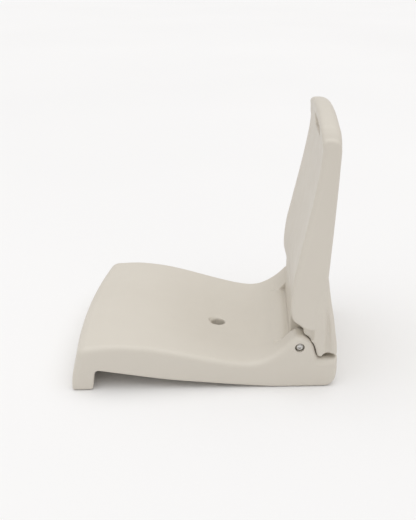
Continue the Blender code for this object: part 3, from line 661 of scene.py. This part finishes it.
def back_moulding():
    back = back_slab("back_moulding")
    cut(back, [slot_cutter("slot")])
    hub = extruded("hub", hub_outline(), HUB_HALF_WIDTH)
    tail = lofted("tail", [tail_section(z) for z in spread(TAIL_BOTTOM, TAIL_TOP, 60)])
    cut(tail, [foot_recess("foot_recess")])
    joined(back, [hub, tail])
    soften(back, VOXEL, BACK_SOFTENING, KEPT_SHARE)
    held_inside(back)
    vent = mm(0, SEAT_REAR, BACK_VENT_Z)
    cutters = [bar("vent_recess", PLUG_RECESS_RADIUS, BACK_VENT_FLOOR - SEAT_REAR, 0, vent, (0, 1, 0)),
               bar("vent", VENT_RADIUS, -28, 0, vent, (0, 1, 0))]
    for side, word in SIDES:
        cutters.append(bar(f"bore_{word}", *INSERT_BORE, mm(0, PIVOT_Y, PIVOT_Z), (side, 0, 0)))
        cutters.append(bar(f"pocket_{word}", *BUFFER_BORE, mm(side * BUFFER_X, BUFFER_Y, 0)))
    cut(back, cutters)
    return back


def shade(obj, look, angle=30):
    """Gives the obj one material, and smooth shading except at edges over the angle."""
    obj.data.materials.clear()
    obj.data.materials.append(look)
    obj.data.shade_smooth()
    obj.data.set_sharp_from_angle(angle=math.radians(angle))


class Look:
    """A procedural material on object coordinates, built node by node."""

    def __init__(self, name, roughness, metallic=0.0):
        self.material = bpy.data.materials.new(name)
        self.material.use_nodes = True
        self.tree = self.material.node_tree
        self.shader = self.tree.nodes["Principled BSDF"]
        self.shader.inputs["Roughness"].default_value = roughness
        self.shader.inputs["Metallic"].default_value = metallic
        self.place = self.tree.nodes.new("ShaderNodeTexCoord").outputs["Object"]

    def noise(self, scale, detail=2.0, stretch=None):
        made = self.tree.nodes.new("ShaderNodeTexNoise")
        made.inputs["Scale"].default_value = scale
        made.inputs["Detail"].default_value = detail
        source = self.place
        if stretch:
            mapping = self.tree.nodes.new("ShaderNodeMapping")
            mapping.inputs["Scale"].default_value = stretch
            self.tree.links.new(source, mapping.inputs["Vector"])
            source = mapping.outputs["Vector"]
        self.tree.links.new(source, made.inputs["Vector"])
        return made.outputs["Fac"]

    def ramp(self, source, stops):
        made = self.tree.nodes.new("ShaderNodeValToRGB")
        elements = made.color_ramp.elements
        for element, (position, colour) in zip(elements, stops):
            element.position = position
            element.color = (*colour, 1.0)
        self.tree.links.new(source, made.inputs["Fac"])
        return made.outputs["Color"]

    def spread(self, source, low, high):
        made = self.tree.nodes.new("ShaderNodeMapRange")
        made.inputs["From Min"].default_value = 0.3
        made.inputs["From Max"].default_value = 0.7
        made.inputs["To Min"].default_value = low
        made.inputs["To Max"].default_value = high
        self.tree.links.new(source, made.inputs["Value"])
        return made.outputs["Result"]

    def bump(self, source, distance, strength=1.0, under=None):
        made = self.tree.nodes.new("ShaderNodeBump")
        made.inputs["Distance"].default_value = distance
        made.inputs["Strength"].default_value = strength
        self.tree.links.new(source, made.inputs["Height"])
        if under:
            self.tree.links.new(under, made.inputs["Normal"])
        return made.outputs["Normal"]

    def use(self, name, source):
        self.tree.links.new(source, self.shader.inputs[name])


def plastic_look(name, light, dark, roughness):
    """Blow-moulded plastic: faint flow clouds, a fine etched grain and a slow ripple of the wall."""
    look = Look(name, roughness)
    look.use("Base Color", look.ramp(look.noise(7.0, 3.0), [(0.35, dark), (0.65, light)]))
    look.use("Roughness", look.spread(look.noise(40.0, 3.0), roughness - 0.05, roughness + 0.06))
    grain = look.bump(look.noise(1500.0, 2.0), 0.00005, 0.6)
    look.use("Normal", look.bump(look.noise(16.0, 1.0), 0.0005, 0.25, grain))
    return look.material


def metal_look(name, light, dark, roughness):
    """Turned metal: fine rings, and blotches of the plating."""
    look = Look(name, roughness, 1.0)
    look.use("Base Color", look.ramp(look.noise(260.0, 3.0), [(0.3, dark), (0.7, light)]))
    look.use("Roughness", look.spread(look.noise(500.0, 2.0), roughness - 0.06, roughness + 0.1))
    look.use("Normal", look.bump(look.noise(2500.0, 2.0, (0.15, 1.0, 1.0)), 0.00002, 0.5))
    return look.material


def dress():
    """Builds the two mouldings and gives every piece its material."""
    shell = plastic_look("seat_plastic", (0.682, 0.642, 0.570), (0.664, 0.623, 0.552), 0.46)
    seat, back = seat_moulding(), back_moulding()
    for obj, node, body in ((seat, "seat_body", "seat"), (back, "back_body", "back")):
        shade(obj, shell, 40)
        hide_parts(node)
        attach(obj, body)
    looks = {
        "plug_plastic": plastic_look("plug_plastic", (0.50, 0.48, 0.43), (0.47, 0.45, 0.40), 0.5),
        "sliding_plastic": plastic_look("sliding_plastic", (0.62, 0.58, 0.51), (0.58, 0.54, 0.47), 0.35),
        "zinc_steel": metal_look("zinc_plated_steel", (0.70, 0.69, 0.67), (0.52, 0.51, 0.50), 0.22),
        "brass": metal_look("brass", (0.78, 0.58, 0.27), (0.62, 0.44, 0.19), 0.3),
        "buffer_rubber": plastic_look("buffer_rubber", (0.56, 0.53, 0.47), (0.50, 0.47, 0.42), 0.75),
    }
    slots = {part["node"]: part["material_slot"] for part in frame["record"]["subparts"]}
    for name, node in nodes.items():
        if slots[name] in looks:
            shade(node, looks[slots[name]], 35)


def floor():
    mesh = bmesh.new()
    bmesh.ops.create_grid(mesh, x_segments=2, y_segments=2, size=30.0)
    mesh.transform(Matrix.Translation((0, 0, -0.0002)))
    made = finished("studio_floor", mesh)
    look = Look("studio_floor", 0.9)
    look.shader.inputs["Specular IOR Level"].default_value = 0.1
    stops = [(0.3, (0.90, 0.90, 0.905)), (0.7, (0.92, 0.92, 0.925))]
    look.use("Base Color", look.ramp(look.noise(0.6, 2.0), stops))
    shade(made, look.material)
    return made


def aimed(name, data, place, target):
    """A lamp or camera at one place that looks at another."""
    made = bpy.data.objects.new(name, data)
    bpy.context.scene.collection.objects.link(made)
    made.location = place
    made.rotation_euler = (Vector(target) - made.location).to_track_quat("-Z", "Y").to_euler()
    return made


def top_light():
    data = bpy.data.lights.new("top_light", "SUN")
    data.energy = TOP_LIGHT
    data.angle = math.radians(90)
    data.color = TOP_LIGHT_COLOUR
    return aimed("top_light", data, TOP_LIGHT_PLACE, (0, 0, 0))


def studio():
    scene = bpy.context.scene
    scene.view_settings.view_transform = "Standard"
    world = bpy.data.worlds.new("studio")
    world.use_nodes = True
    sky = world.node_tree.nodes["Background"]
    sky.inputs["Color"].default_value = SKY_COLOUR
    sky.inputs["Strength"].default_value = SKY_LIGHT
    scene.world = world
    data = bpy.data.cameras.new("camera")
    data.sensor_width = 36.0
    data.lens = CAMERA_LENS
    scene.camera = aimed("camera", data, CAMERA_PLACE, CAMERA_TARGET)
    floor()
    top_light()


dress()
studio()
bpy.context.view_layer.update()
